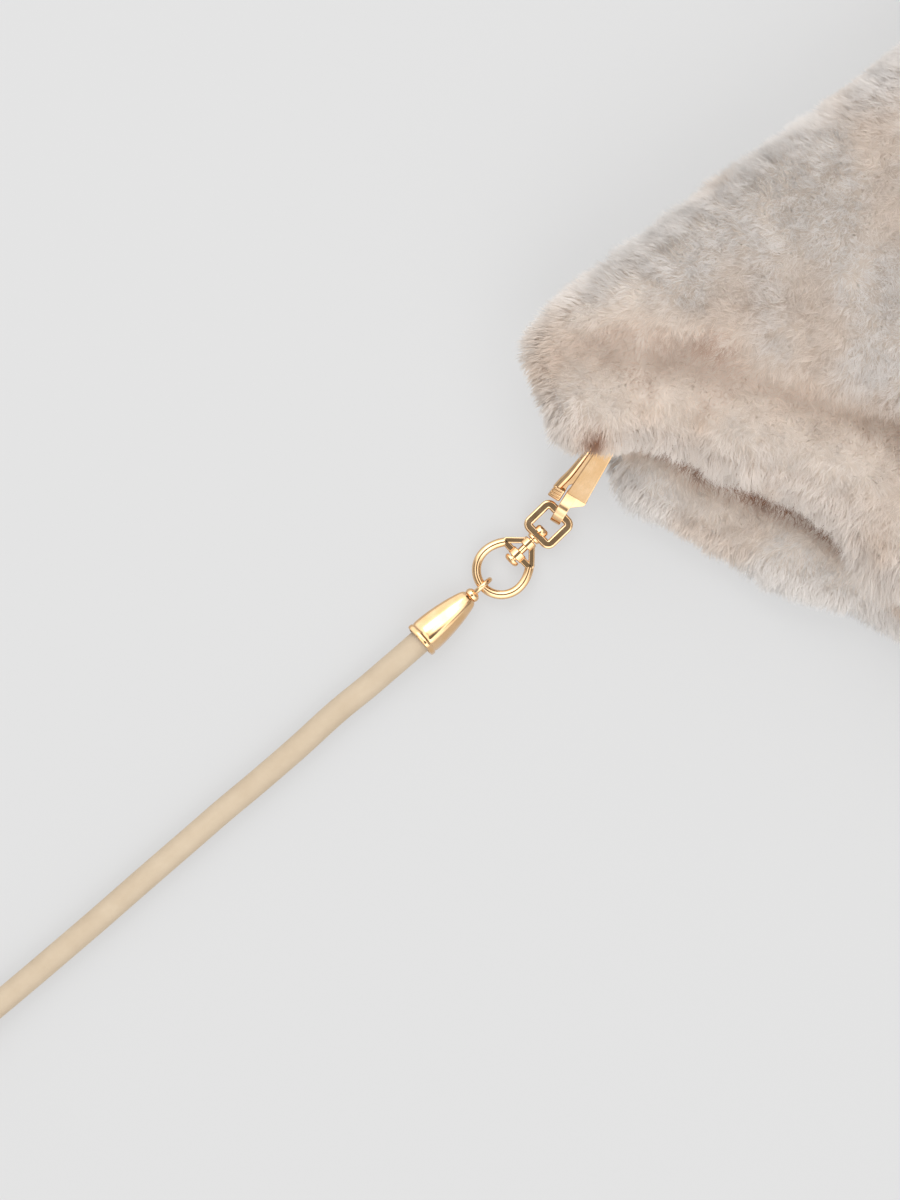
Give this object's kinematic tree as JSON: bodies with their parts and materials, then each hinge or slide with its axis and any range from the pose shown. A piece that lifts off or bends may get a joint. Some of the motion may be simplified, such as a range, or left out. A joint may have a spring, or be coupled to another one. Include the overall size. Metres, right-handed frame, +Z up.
{
  "type": "fur mitten",
  "caption": "Plush fur mitten lying palm down, with a gold snap hook, swivel and round leather cord clipped at its flared cuff.",
  "frame": {"origin": "centre of the mitten's own box at the floor, without the clasp, swivel and cord", "axes": "+Y from the cuff's mouth to the fingertips, +Z up from the palm, which lies on the floor"},
  "size_m": [0.1906, 0.5207, 0.0474],
  "materials": {
    "fur": "deep matt plush pile",
    "gold": "polished pale gold plating",
    "cord_leather": "smooth satin beige",
    "loop_leather": "smooth tan"
  },
  "bodies": {
    "mitten": {"back_panel": "fur", "palm_panel": "fur", "thumb": "fur", "hanger_loop": "loop_leather", "clasp_body": "gold", "swivel_link": "gold", "swivel_ring": "gold", "cord_cap_near": "gold", "cord_cap_far": "gold", "cord": "cord_leather"},
    "lever": {"clasp_lever": "gold"}
  },
  "joints": [
    {"name": "lever_pivot", "type": "hinge", "parent": "mitten", "child": "lever", "pos_m": [-0.05506, -0.14693, 0.00976], "axis": [-0.034, 0.4527, -0.891], "range_deg": [0, 12], "stiffness_Nm_per_rad": 0.01, "springref_deg": -5.73}
  ]
}
